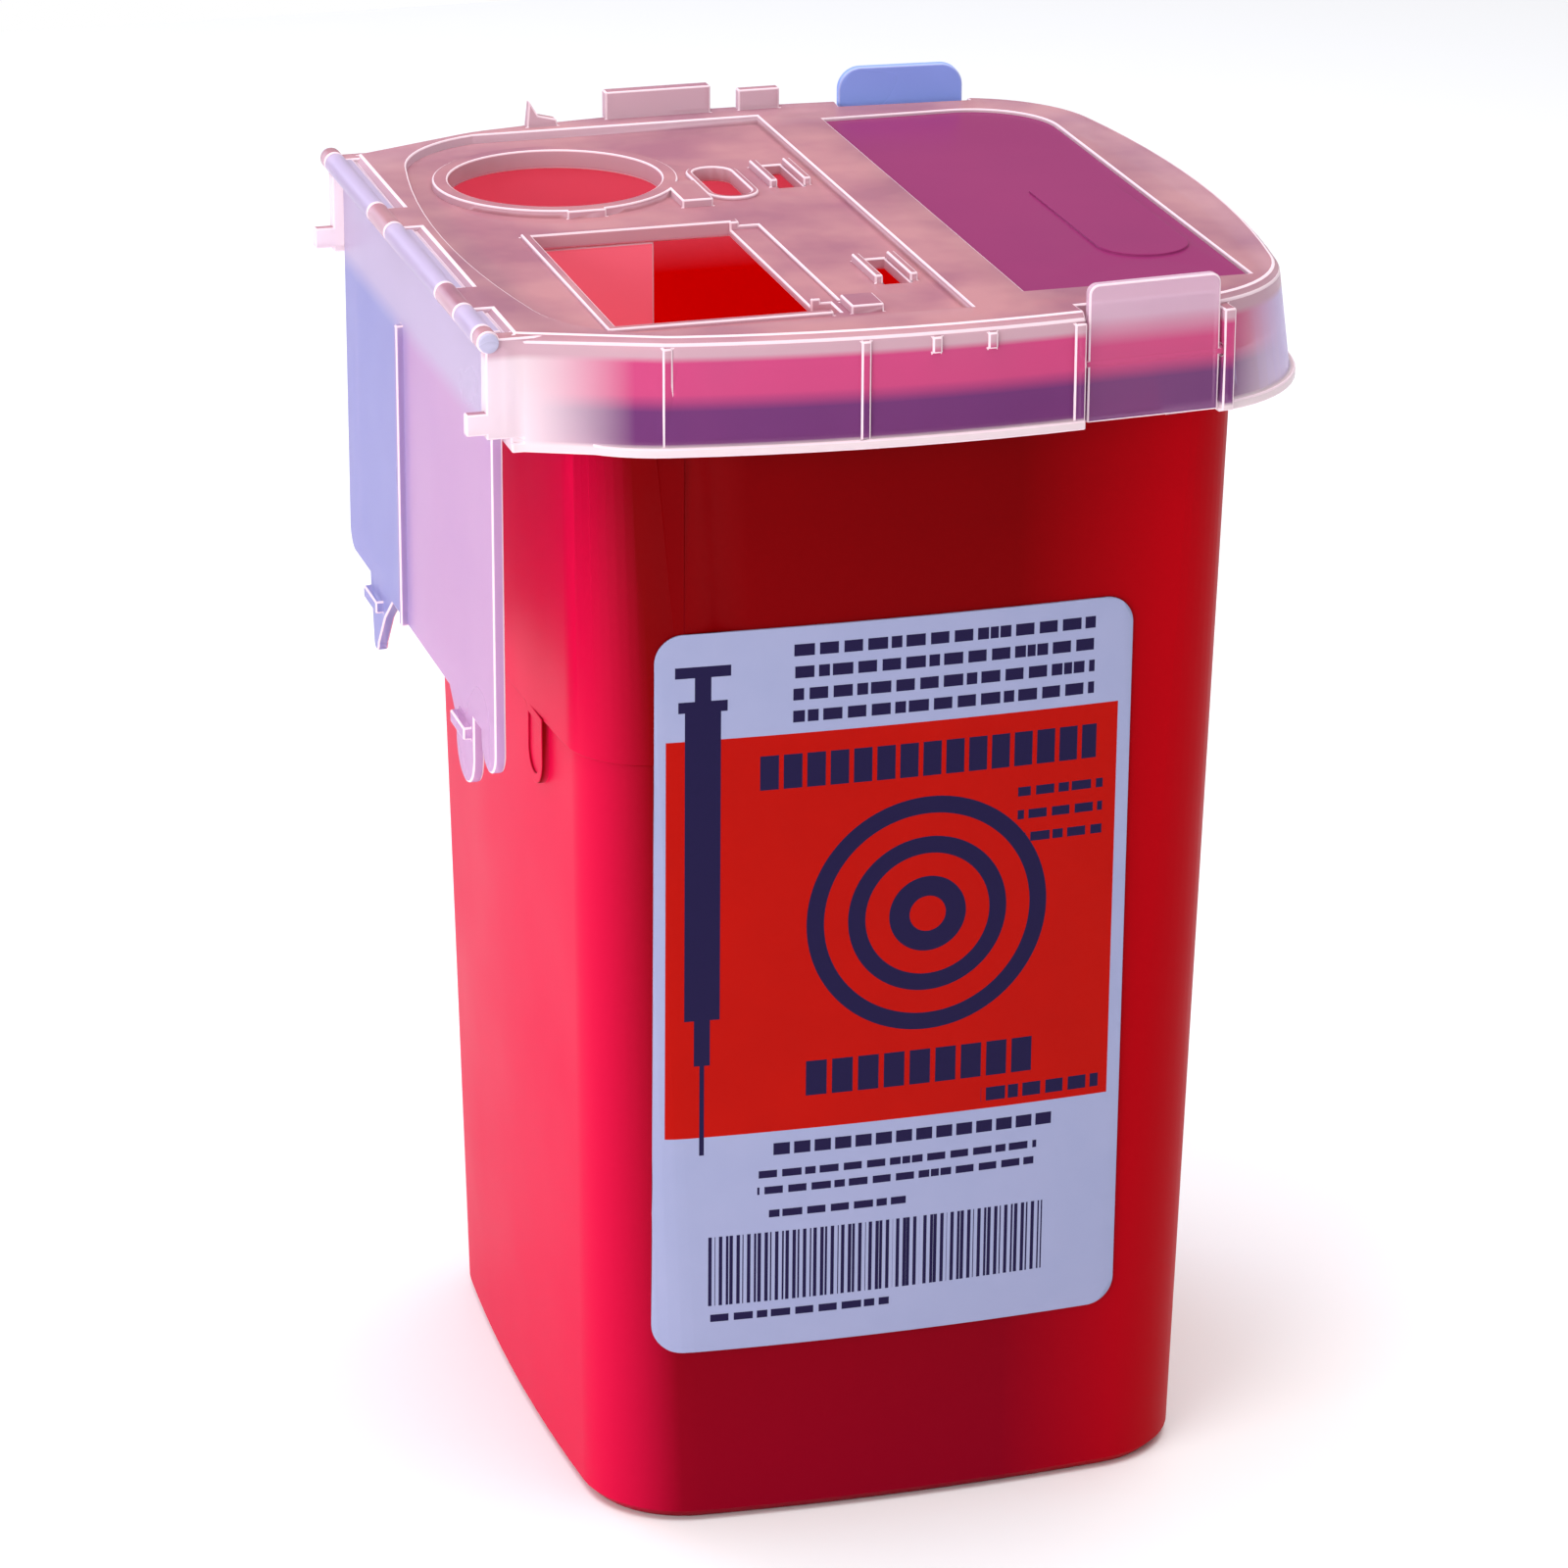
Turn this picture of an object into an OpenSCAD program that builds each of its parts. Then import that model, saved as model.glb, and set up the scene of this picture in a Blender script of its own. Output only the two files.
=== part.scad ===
// Small sharps container: a tapered square tub, a translucent removable lid with drop openings,
// a closure flap hinged along the lid's left edge, and two rocking lock tabs.
// Millimetres, +Z up. The origin is the centre of the tub's base, the label faces -Y,
// and the closure flap hangs on the -X side.

/* [Tub] */
// Width of the base along X, measured at mid-side
tub_w = 80; // [70:0.2:100]
// Depth of the base along Y, measured at mid-side
tub_d = 87.6; // [76:0.2:110]
// Height of the tub to the top of its rim
tub_h = 153.6; // [120:0.2:190]
// Thickness of the side walls
tub_wall = 1.8; // [1.2:0.1:3]
// Thickness of the floor
tub_floor = 2.2; // [1.4:0.1:4]
// How much each X side leans out from base to rim
lean_x = 2.6; // [0.4:0.1:3]
// How much each Y side leans out from base to rim
lean_y = 1.5; // [0.4:0.1:3]
// Outward bow of each side at its middle
tub_bow = 1.1; // [0.4:0.1:2]
// Corner radius at the base
base_corner_r = 13.4; // [9:0.2:18]
// Corner radius under the rim
top_corner_r = 8.8; // [7:0.2:14]
// Height of the sloped edge round the underside
foot_edge = 1.4; // [1:0.1:4]
// Height of the moulded step on the flap side
shoulder_z = 102; // [90:0.5:116]
// How far the flap side stands out above that step
shoulder_step = 0.6; // [0.2:0.1:1.2]
// Distance of the two thumb nubs from the middle of the flap side
nub_y = 21; // [14:0.5:26]
// Width of a thumb nub
nub_w = 8; // [4:0.2:10]
// Length of a thumb nub below the step
nub_l = 9.5; // [6:0.5:14]

/* [Rim] */
// Reach of the rim beyond the wall on the side away from the hinge
rim_reach_x = 5.2; // [4:0.1:10]
// Reach of the rim beyond the wall on the hinge side
rim_reach_hinge = 5; // [4:0.1:7]
// Reach of the rim beyond the wall at front and back
rim_reach_y = 5; // [4:0.1:9]
// Height of the rim's turned-down lip
rim_drop = 5.3; // [4:0.1:7]
// Thickness of the rim
rim_t = 1.8; // [1.2:0.1:2.4]

/* [Lid] */
// Thickness of the deck
deck_t = 1.5; // [1:0.1:2.4]
// Rise of the lid's frame above the recessed fields
frame_rise = 1.2; // [1:0.1:1.6]
// Thickness of the skirt
skirt_t = 1.4; // [1:0.1:2]
// Height of the skirt below the top of the frame
skirt_h = 14.2; // [11:0.2:18]
// Flare of the skirt on the side away from the hinge
skirt_flare = 1.8; // [0.6:0.1:3]
// Corner radius of the lid
lid_corner_r = 18.4; // [16:0.2:22]
// Outward bow of the lid's sides
lid_bow = 2.8; // [1:0.1:3.4]
// Shift of the rim and lid along X, away from the hinge
lid_shift_x = 1.3; // [0:0.05:2]
// Reach of the bright lip round the skirt's bottom edge
lip_reach = 0.6; // [0.5:0.1:1.4]

/* [Openings] */
// Diameter of the round drop opening
port_d = 27; // [22:0.5:28]
// Width of the long drop opening along X
gate_w = 25; // [18:0.5:26]
// Length of the long drop opening along Y
gate_l = 40; // [30:0.5:41]
// Width of the small unwinding slot
slot_w = 5; // [4.4:0.1:6]
// Length of the small unwinding slot
slot_l = 14; // [10:0.5:15]
// Depth to which the baffle hangs below the deck
baffle_h = 12; // [6:0.5:16]
// Thickness of the baffle
baffle_t = 1.2; // [0.8:0.1:2]

/* [Window panel] */
// Width of the panel along X
panel_w = 28.2; // [24:0.2:29]
// Length of the panel along Y
panel_l = 83; // [70:0.5:84]
// Thickness of the panel
panel_t = 0.8; // [0.6:0.1:0.9]
// Width of the seat under the panel's edge
panel_seat = 1.6; // [1:0.1:2.4]

/* [Closure flap] */
// Width of the flap along the hinge
flap_w = 79.2; // [70:0.2:79.6]
// Length of the flap from the hinge axis to its straight edge
flap_l = 51.2; // [46:0.2:52]
// Thickness of the flap
flap_t = 1.4; // [1:0.1:1.8]
// Height of the stiffening rib on the flap's outer face
flap_rib_h = 0.9; // [0.5:0.1:1]
// Length of the longest prong
prong_l = 9.6; // [7:0.2:10]

/* [Hinge] */
// Diameter of the hinge pin
pin_d = 1.4; // [1.2:0.1:1.6]
// Outer diameter of the knuckles
knuckle_d = 2.7; // [2.5:0.1:3]
// Width of the posts that hold the pin's ends
post_w = 2.6; // [2:0.2:5]
// Radial clearance of the flap's knuckles on the pin
pin_gap = 0.05; // [0.02:0.01:0.09]
// Gap between a knuckle and its neighbour
knuckle_gap = 0.4; // [0.3:0.05:0.6]

/* [Lock tabs] */
// Width of a lock tab
tab_w = 16.8; // [12:0.2:20]
// Thickness of a lock tab
tab_t = 1.3; // [1:0.1:1.5]
// Height of the front lock tab above the lid
front_tab_rise = 3.2; // [2:0.1:6]
// Height of the rear lock tab above the lid
rear_tab_rise = 4.5; // [2:0.1:6]
// Turn of the lock tabs towards the curve of the skirt
tab_turn = 4; // [0:0.5:8]
// Diameter of the stub axles
axle_d = 1.2; // [1:0.1:1.3]
// Gap on each side of a tab
tab_gap = 0.4; // [0.3:0.05:0.6]

/* [Label] */
// Width of the label
label_w = 59.7; // [40:0.1:64]
// Height of the label
label_h = 94.7; // [60:0.1:100]
// Height of the label's lower edge above the floor
label_z = 23.8; // [18:0.2:26]
// Offset of the label's centre from the tub's centre
label_x = -3; // [-4:0.1:4]
// Thickness of the label
label_t = 0.3; // [0.2:0.05:0.5]
// Corner radius of the label
label_r = 3.5; // [2:0.1:6]

/* [Hidden] */
$fn = 48;
eps = 0.01;
far = 400;

// How many outline points each half side and each corner gets
side_steps = 6;
corner_steps = 12;

// Tub levels and half sizes
tub_hx = tub_w / 2;
tub_hy = tub_d / 2;
rim_top = tub_h;
rim_low = rim_top - rim_drop;
mouth_hx = tub_hx + lean_x;
mouth_hy = tub_hy + lean_y;

// Rim, centred on the shifted lid
lid_shift_y = 0.3;
rim_hx = mouth_hx + rim_reach_x;
rim_hy = mouth_hy + rim_reach_y;
rim_left = -mouth_hx - rim_reach_hinge;

// Lid levels
seat_gap = 0.1;
rim_gap = 0.5;
deck_z = rim_top + seat_gap;
field_z = deck_z + deck_t;
top_z = field_z + frame_rise;
skirt_z = top_z - skirt_h;
edge_cut = 0.8;
lip_h = 1.2;

// Lid outline, half sizes at mid-side, and the straight wall on the hinge side
lid_hx = rim_hx + rim_gap + skirt_t;
lid_hy = rim_hy + rim_gap + skirt_t;
lid_left = rim_left - rim_gap - skirt_t;
lid_right = lid_shift_x + lid_hx;
lid_front = lid_shift_y - lid_hy;
lid_back = lid_shift_y + lid_hy;

// Half length of the straight hinge block of the lid and of the rim
post_y = flap_w / 2 + knuckle_gap;
lid_block_y = post_y + post_w - 0.6;
rim_block_y = lid_block_y - rim_gap - skirt_t;
rim_corner_r = lid_corner_r - rim_gap - skirt_t;

// Flap hinge axis: the closed flap lies just above the frame
wall_gap = 0.4;
close_gap = 0.3;
knuckle_r = knuckle_d / 2;
flap_inset = 0.9;
axis_z = top_z + close_gap - flap_inset;
axis_x = lid_left - wall_gap - flap_t - flap_inset;
flap_out = axis_x + flap_inset;
flap_in = flap_out + flap_t;
post_z = skirt_z + 1.8;
post_left = axis_x - 0.3;
arm_r = 3.2;
lid_knuckles = [-26, 10.5];
lid_knuckle_w = 9;

// Recessed field under the flap, and the cross bar beside it
field_left = lid_left + 1;
bar_w = 7;
panel_gap = 0.15;
panel_right = lid_right - 9.15;
panel_left = panel_right - panel_w;
bar_right = panel_left - 1;
bar_left = bar_right - bar_w;
field_front = lid_front + 6.7;
field_back = lid_back - 5.9;
panel_front = lid_front + 11.5;
panel_back = panel_front + panel_l;

// Openings in the field, set off from the hinge wall
port_x = lid_left + 22.2;
port_y = 24.2;
port_rim_w = 2;
gate_x0 = lid_left + 13.3;
gate_y1 = 0.5;
gate_x1 = gate_x0 + gate_w;
gate_y0 = gate_y1 - gate_l;
slot_x = gate_x1 + 4.3;
slot_y = 19;
mark_h = 1;

// Prongs of the flap and the latch slots that they reach
rear_prong_y = 21;
mid_prong_y = -24;
barb_v = flap_l + 2.3;
barb_h = 1;
latch_x = axis_x + barb_v;

// Lock tabs, each on a flat land of the skirt
tab_x = lid_shift_x + 25.1;
tab_face = lid_hy - 1.4;
tab_back = tab_face - tab_t;
tab_axle_y = tab_face - 0.5;
tab_axis_z = rim_low + 1.7;
tab_low = skirt_z + 0.6;
rib_w = 1.5;
rib_out = 0.5;
rib_depth = 5;
rib_inset = 0.4;
axle_gap = 0.08;
axle_end_gap = 0.2;
bore_wall = 0.5;
bore_l = tab_w + 2 * (tab_gap + rib_w - bore_wall);
axle_l = bore_l - 2 * axle_end_gap;
tab_swing_room = 2.2;

// ---- outline of a square with bowed sides and round corners ----

// Half length over which a side bows: up to the centre of the corner arc
function bow_half(half, bow, r) = half - r - bow;

// Radius of the side that bows over half length l
function side_radius(l, bow, r) = r + (l * l + bow * bow) / (2 * bow);

function arc(centre, r, a0, a1, steps) =
    [for (i = [0:steps - 1])
        let (a = a0 + (a1 - a0) * i / steps)
        centre + r * [cos(a), sin(a)]];

// One quarter of the outline, from the +X axis to just before the +Y axis
function quarter(hx, hy, bow, r) =
    let (c = [bow_half(hx, bow, r), bow_half(hy, bow, r)],
         rx = side_radius(c[1], bow, r),
         ry = side_radius(c[0], bow, r),
         right = [hx - rx, 0],
         top = [0, hy - ry],
         gx = atan2(c[1], c[0] - right[0]),
         gy = atan2(c[0], c[1] - top[1]))
    concat(arc(right, rx, 0, gx, side_steps),
           arc(c, r, gx, 90 - gy, corner_steps),
           arc(top, ry, 90 - gy, 90, side_steps));

// The quarter after k quarter turns
function turned(points, k) =
    [for (p = points) k == 0 ? p : k == 1 ? [-p[1], p[0]] : k == 2 ? -p : [p[1], -p[0]]];

function outline(hx, hy, bow, r) =
    concat(turned(quarter(hx, hy, bow, r), 0), turned(quarter(hy, hx, bow, r), 1),
           turned(quarter(hx, hy, bow, r), 2), turned(quarter(hy, hx, bow, r), 3));

// A thin slice of the outline whose upper face is at z
module slice(z, hx, hy, bow, r) {
    translate([0, 0, z - eps])
        linear_extrude(eps)
            polygon(outline(hx, hy, bow, r));
}

// ---- tub ----

// Solid that the tapered tub fills, grown by g
module tub_loft(g, corner_top) {
    low_r = base_corner_r + g;
    hull() {
        slice(eps, tub_hx - foot_edge + g, tub_hy - foot_edge + g, tub_bow, low_r - foot_edge);
        slice(foot_edge, tub_hx + g, tub_hy + g, tub_bow, low_r);
        slice(rim_top, mouth_hx + g, mouth_hy + g, tub_bow, corner_top + g);
    }
}

// Straight block on the hinge side of the rim and lid, from x0 to the middle
module hinge_block(x0, half_y) {
    translate([x0, -half_y])
        square([-x0, 2 * half_y]);
}

// Rim plan, grown by g
module rim_plan(g) {
    translate([lid_shift_x, lid_shift_y])
        polygon(outline(rim_hx + g, rim_hy + g, lid_bow, rim_corner_r + g));
    hinge_block(rim_left - g, rim_block_y + g);
}

// The flap side stands out above the step, which fades away round the corners
module shoulder() {
    intersection() {
        translate([-shoulder_step, 0, 0])
            tub_loft(0, top_corner_r);
        translate([0, 0, shoulder_z])
            linear_extrude(rim_top - shoulder_z)
                intersection() {
                    rim_plan(0);
                    translate([-far, -far / 2])
                        square([far - mouth_hx + base_corner_r, far]);
                }
    }
}

// Outline of a nub with a round lower end, shrunk by g, with its top middle at the origin
module nub_plan(g) {
    r = nub_w / 2 - g;
    translate([-r, -nub_l + nub_w / 2])
        square([2 * r, nub_l - nub_w / 2 - g]);
    translate([0, -nub_l + nub_w / 2])
        circle(r);
}

// Low U-shaped nub hanging from the step
module corner_nub(side) {
    nub_proud = 0.6;
    nub_rim = 1.3;
    nub_depth = 1.4;
    up = (shoulder_z - nub_l / 2) / rim_top;
    face_x = -(tub_hx + lean_x * up) + tub_bow * pow(nub_y / tub_hy, 2);
    translate([face_x - nub_proud, side * nub_y, shoulder_z + 0.3])
        rotate([90, 0, 90])
            difference() {
                linear_extrude(nub_depth)
                    nub_plan(0);
                translate([0, 0, -1])
                    linear_extrude(1 + nub_proud / 2)
                        nub_plan(nub_rim);
            }
}

module tub() {
    color("crimson")
        difference() {
            union() {
                tub_loft(0, top_corner_r);
                shoulder();
                corner_nub(-1);
                corner_nub(1);
                translate([0, 0, rim_top - rim_t])
                    linear_extrude(rim_t)
                        rim_plan(0);
                translate([0, 0, rim_low])
                    linear_extrude(rim_drop)
                        difference() {
                            rim_plan(0);
                            rim_plan(-rim_t);
                        }
            }
            hull() {
                slice(tub_floor + eps, tub_hx - tub_wall - foot_edge, tub_hy - tub_wall - foot_edge, tub_bow,
                      base_corner_r - tub_wall - foot_edge);
                slice(tub_floor + foot_edge, tub_hx - tub_wall, tub_hy - tub_wall, tub_bow,
                      base_corner_r - tub_wall);
                slice(rim_top + 1, mouth_hx - tub_wall, mouth_hy - tub_wall, tub_bow,
                      top_corner_r - tub_wall);
            }
        }
}

// ---- label ----

module label_plan() {
    for (x = [-1, 1], y = [0, 1])
        translate([label_x + x * (label_w / 2 - label_r), label_z + label_r + y * (label_h - 2 * label_r)])
            circle(label_r);
    translate([label_x - label_w / 2, label_z + label_r])
        square([label_w, label_h - 2 * label_r]);
    translate([label_x - label_w / 2 + label_r, label_z])
        square([label_w - 2 * label_r, label_h]);
}

module front_label() {
    color("lavender")
        difference() {
            intersection() {
                translate([0, -tub_hy + tub_bow + 2, 0])
                    rotate([90, 0, 0])
                        linear_extrude(20)
                            label_plan();
                tub_loft(label_t, top_corner_r);
            }
            tub_loft(0, top_corner_r);
            shoulder();
        }
}

// ---- lid ----

// Lid plan: flare widens the side away from the hinge, grow widens everything but the hinge wall
module lid_plan(flare, grow, inset) {
    r = lid_corner_r + grow - inset;
    intersection() {
        union() {
            translate([lid_shift_x, lid_shift_y])
                polygon(outline(lid_hx + flare + grow - inset, lid_hy + grow - inset, lid_bow, r));
            hinge_block(lid_left + inset, lid_block_y + grow - inset);
        }
        translate([lid_left + inset, -far / 2])
            square([far, far]);
    }
}

module lid_slice(z, flare, inset) {
    translate([0, 0, z - eps])
        linear_extrude(eps)
            lid_plan(flare, 0, inset);
}

module lid_solid() {
    hull() {
        lid_slice(skirt_z + eps, skirt_flare, 0);
        lid_slice(top_z - edge_cut, 0, 0);
        lid_slice(top_z, 0, edge_cut);
    }
}

module lid_hollow() {
    hull() {
        lid_slice(skirt_z - 1, skirt_flare, skirt_t);
        lid_slice(deck_z, 0, skirt_t);
    }
}

module skirt_lip() {
    translate([0, 0, skirt_z])
        linear_extrude(lip_h)
            lid_plan(skirt_flare, lip_reach, 0);
}

// Recess under the closed flap, with its outer corners following the lid
module field_plan() {
    intersection() {
        translate([lid_shift_x, lid_shift_y])
            polygon(outline(lid_hx - 1, lid_hy - 2.5, lid_bow, lid_corner_r - 1.8));
        translate([field_left, field_front])
            square([bar_left - field_left, field_back - field_front]);
    }
}

// Panel plan, shrunk by g, with its outer back corner rounded like the lid
module panel_plan(g) {
    back_r = 11;
    difference() {
        translate([panel_left + g, panel_front + g])
            square([panel_w - 2 * g, panel_l - 2 * g]);
        translate([panel_right - back_r, panel_back - back_r])
            difference() {
                square([back_r + 1, back_r + 1]);
                circle(back_r - g);
            }
    }
}

module latch_slot(y) {
    translate([latch_x - 1.6, y - 5.5, deck_z - 1])
        cube([3.2, 11, deck_t + 2]);
}

module latch_lips(y) {
    for (x = [latch_x - 2.7, latch_x + 1.7])
        translate([x, y - 5, field_z - eps])
            cube([1, 10, mark_h]);
}

// Raised rims and marks standing in the recessed field
module field_marks() {
    translate([port_x, port_y, field_z - eps])
        cylinder(d = port_d + 2 * port_rim_w, h = mark_h);
    translate([port_x - 2.4, port_y - port_d / 2 - port_rim_w - 0.4, field_z - eps])
        cube([5, 2, mark_h]);
    translate([gate_x0 - 1.2, gate_y0 - 1.2, field_z - eps])
        cube([gate_w + 2.4, gate_l + 2.4, mark_h * 0.5]);
    translate([slot_x - slot_w / 2 - 5.2, slot_y - slot_l / 2 - 2.4, field_z - eps])
        cube([4, 9, mark_h]);
    translate([slot_x, slot_y, field_z - eps])
        slot_solid(slot_w + 1.8, slot_l + 1.8, mark_h * 0.5);
    translate([gate_x1 + 3.4, gate_y0 - 1, field_z - eps])
        cube([4, 5, mark_h]);
    latch_lips(rear_prong_y);
    latch_lips(mid_prong_y);
}

// Upright slot solid with round ends, centred in plan
module slot_solid(w, l, h) {
    translate([-w / 2, -l / 2 + w / 2, 0])
        cube([w, l - w, h]);
    for (y = [-l / 2 + w / 2, l / 2 - w / 2])
        translate([0, y, 0])
            cylinder(d = w, h = h);
}

module deck_openings() {
    cut = deck_t + frame_rise + 2;
    translate([port_x, port_y, deck_z - 1])
        cylinder(d = port_d, h = cut);
    translate([gate_x0, gate_y0, deck_z - 1])
        cube([gate_w, gate_l, cut]);
    translate([gate_x1 - 1, gate_y0, deck_z - 1])
        cube([3.4, 4.4, cut]);
    translate([slot_x, slot_y, deck_z - 1])
        slot_solid(slot_w, slot_l, cut);
    latch_slot(rear_prong_y);
    latch_slot(mid_prong_y);
    translate([0, 0, deck_z - 1])
        linear_extrude(cut)
            panel_plan(panel_seat);
}

// Sunk strip along the right side of the long opening
module gate_ledge() {
    translate([gate_x1 - eps, gate_y0 + 5, field_z - 0.5])
        cube([3.6, gate_l - 5.5, 3]);
}

// Posts, knuckles and stop nubs on the hinge side
module hinge_lugs() {
    for (side = [-1, 1]) {
        y0 = side < 0 ? -post_y - post_w : post_y;
        translate([post_left, y0, post_z])
            cube([-post_left + lid_left + 9, post_w, axis_z - post_z]);
        translate([axis_x, y0, axis_z])
            rotate([-90, 0, 0])
                cylinder(d = knuckle_d, h = post_w);
        translate([axis_x, y0, axis_z - 1])
            cube([lid_left - axis_x + 9, post_w, knuckle_r]);
        translate([post_left - 2.4, y0, post_z + 0.6])
            cube([4, post_w * 0.6, 2.6]);
    }
    for (y = lid_knuckles) {
        translate([axis_x, y - lid_knuckle_w / 2, axis_z])
            rotate([-90, 0, 0])
                cylinder(d = knuckle_d, h = lid_knuckle_w);
        translate([axis_x, y - lid_knuckle_w / 2, axis_z - knuckle_r])
            cube([lid_left - axis_x + 1, lid_knuckle_w, top_z - axis_z + knuckle_r]);
    }
}

module pin_bore(d) {
    translate([axis_x, -flap_w, axis_z])
        rotate([-90, 0, 0])
            cylinder(d = d, h = 2 * flap_w);
}

// Places children at the front (side -1) or rear (side 1) lock tab, with +Y pointing outwards
module at_tab(side) {
    translate([tab_x, lid_shift_y, 0])
        mirror([0, side < 0 ? 1 : 0, 0])
            translate([0, tab_face, 0])
                rotate([0, 0, -tab_turn])
                    translate([0, -tab_face, 0])
                        children();
}

// Skirt ribs that carry the stub axles
module tab_ribs() {
    for (x = [-tab_w / 2 - tab_gap - rib_w, tab_w / 2 + tab_gap])
        translate([x, tab_face - rib_depth, skirt_z + rib_inset])
            cube([rib_w, rib_depth + rib_out, skirt_h - edge_cut - 2 * rib_inset]);
}

module tab_window() {
    w = tab_w + 2 * tab_gap;
    translate([-w / 2, tab_back - tab_swing_room, deck_z - 1])
        cube([w, 20, 20]);
    translate([-w / 2, tab_back - 0.6, skirt_z - 2])
        cube([w, 20, 30]);
}

module tab_axle_bores() {
    translate([-bore_l / 2, tab_axle_y, tab_axis_z])
        rotate([0, 90, 0])
            cylinder(d = axle_d + 2 * axle_gap, h = bore_l);
}

// Low upstands along the back edge: a long one, a short one and a spike
module rear_upstands() {
    sink = 1;
    y0 = lid_back - 2.9;
    translate([-14, y0, top_z - sink])
        cube([14.2, 2, 3.6 + sink]);
    translate([4, y0, top_z - sink])
        cube([5.6, 1.6, 2.7 + sink]);
    translate([-25, y0, top_z - sink])
        rotate([90, 0, 0])
            linear_extrude(1.4)
                polygon([[0, 0], [4.6, 0], [4, 1.9], [1.6, 2.5], [0.4, 4.5]]);
}

// Outer face of the front skirt at x, measured along -Y
function front_face(x) =
    let (r = side_radius(bow_half(lid_hx, lid_bow, lid_corner_r), lid_bow, lid_corner_r),
         dx = x - lid_shift_x)
    lid_shift_y - (lid_hy - r + sqrt(r * r - dx * dx));

// Small teeth and ribs on the front of the skirt
module front_trim() {
    proud = 0.4;
    trim_w = 1.2;
    for (x = [-1.5, 5.3])
        translate([x, front_face(x) - proud, top_z - 3.2])
            cube([trim_w, 1.6, 2]);
    for (x = [-33, -10])
        translate([x, front_face(x) - proud, skirt_z + rib_inset])
            cube([trim_w, proud + 1, skirt_h - edge_cut - 2 * rib_inset]);
}

module lid_shell() {
    color("thistle", 0.7)
        difference() {
            union() {
                difference() {
                    union() {
                        lid_solid();
                        skirt_lip();
                        hinge_lugs();
                        front_trim();
                        for (side = [-1, 1])
                            at_tab(side)
                                tab_ribs();
                    }
                    lid_hollow();
                    translate([0, 0, field_z])
                        linear_extrude(frame_rise + 1)
                            field_plan();
                    translate([0, 0, field_z])
                        linear_extrude(frame_rise + 1)
                            panel_plan(-panel_gap);
                }
                field_marks();
                rear_upstands();
            }
            deck_openings();
            gate_ledge();
            pin_bore(pin_d);
            for (side = [-1, 1])
                at_tab(side) {
                    tab_window();
                    tab_axle_bores();
                }
        }
}

// ---- window panel ----

module window_panel() {
    mark_w = 11.5;
    mark_l = 26;
    mark_x = panel_right - 2 - mark_w / 2;
    mark_y = panel_front + 11 + mark_w / 2;
    color("mediumorchid", 0.7) {
        translate([0, 0, field_z])
            linear_extrude(panel_t)
                panel_plan(0);
        translate([mark_x - mark_w / 2, mark_y, field_z])
            cube([mark_w, mark_l, panel_t + 0.3]);
        translate([mark_x, mark_y, field_z])
            cylinder(d = mark_w, h = panel_t + 0.3);
    }
}

// ---- baffle hanging at the back of the long opening ----

module drop_baffle() {
    color("lightpink", 0.7)
        translate([gate_x0 - 1, gate_y1 + 0.2, deck_z - baffle_h])
            cube([gate_w * 0.66, baffle_t, baffle_h]);
}

// ---- closure flap, drawn as it hangs open ----

// Plate outline: first coordinate along the hinge, second the distance below the axis
module flap_plan() {
    corner = 3;
    difference() {
        translate([-flap_w / 2, 0])
            square([flap_w, flap_l]);
        translate([flap_w / 2 - corner, flap_l - corner])
            difference() {
                square([corner + 1, corner + 1]);
                circle(corner);
            }
        for (y = lid_knuckles)
            translate([y - lid_knuckle_w / 2 - knuckle_gap, -1])
                square([lid_knuckle_w + 2 * knuckle_gap, arm_r + 1]);
    }
    rear_prong();
    front_prongs();
}

module rear_prong() {
    tip_r = 1.2;
    v = flap_l + prong_l - tip_r;
    polygon([[rear_prong_y + 7, flap_l - 1], [rear_prong_y + 5.4, v], [rear_prong_y + 3, v],
             [rear_prong_y - 1, flap_l + 3.6], [rear_prong_y - 7, flap_l - 1]]);
    translate([rear_prong_y + 4.2, v])
        circle(tip_r);
}

module front_prongs() {
    mid_w = 9;
    edge_w = 7;
    v = flap_l + prong_l - mid_w / 2;
    polygon([[mid_prong_y + 9, flap_l - 1], [mid_prong_y + mid_w / 2, flap_l + 3],
             [mid_prong_y + mid_w / 2, v], [mid_prong_y - mid_w / 2, v],
             [mid_prong_y - mid_w / 2, flap_l - 1]]);
    translate([mid_prong_y, v])
        circle(mid_w / 2);
    translate([-flap_w / 2, flap_l - 1])
        square([edge_w, 1.6]);
    translate([-flap_w / 2 + edge_w / 2, flap_l + 0.6])
        circle(edge_w / 2);
}

// Knuckles between the lid's own knuckles
module flap_knuckles() {
    half = lid_knuckle_w / 2 + knuckle_gap;
    gaps = [for (y = lid_knuckles, s = [-1, 1]) y + s * half];
    ends = concat([-flap_w / 2], gaps, [flap_w / 2]);
    for (i = [0:2:len(ends) - 1])
        translate([axis_x, ends[i], axis_z]) {
            rotate([-90, 0, 0])
                cylinder(d = knuckle_d, h = ends[i + 1] - ends[i]);
            translate([0, 0, -1.2])
                cube([flap_in - axis_x, ends[i + 1] - ends[i], 1.6]);
        }
}

module closure_flap() {
    rib_y = 6.7;
    color("lightsteelblue", 0.7)
        difference() {
            union() {
                translate([flap_in, 0, axis_z])
                    rotate([-90, 0, 90])
                        linear_extrude(flap_t)
                            flap_plan();
                flap_knuckles();
                translate([flap_out - flap_rib_h, rib_y - 0.5, axis_z - flap_l])
                    cube([flap_rib_h + eps, 1, flap_l - 12]);
                for (y = [rear_prong_y + 3, mid_prong_y])
                    translate([flap_out - barb_h, y - 3.5, axis_z - barb_v - 0.8])
                        cube([barb_h + eps, 7, 1.6]);
            }
            pin_bore(pin_d + 2 * pin_gap);
        }
}

// ---- hinge pin ----

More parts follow.
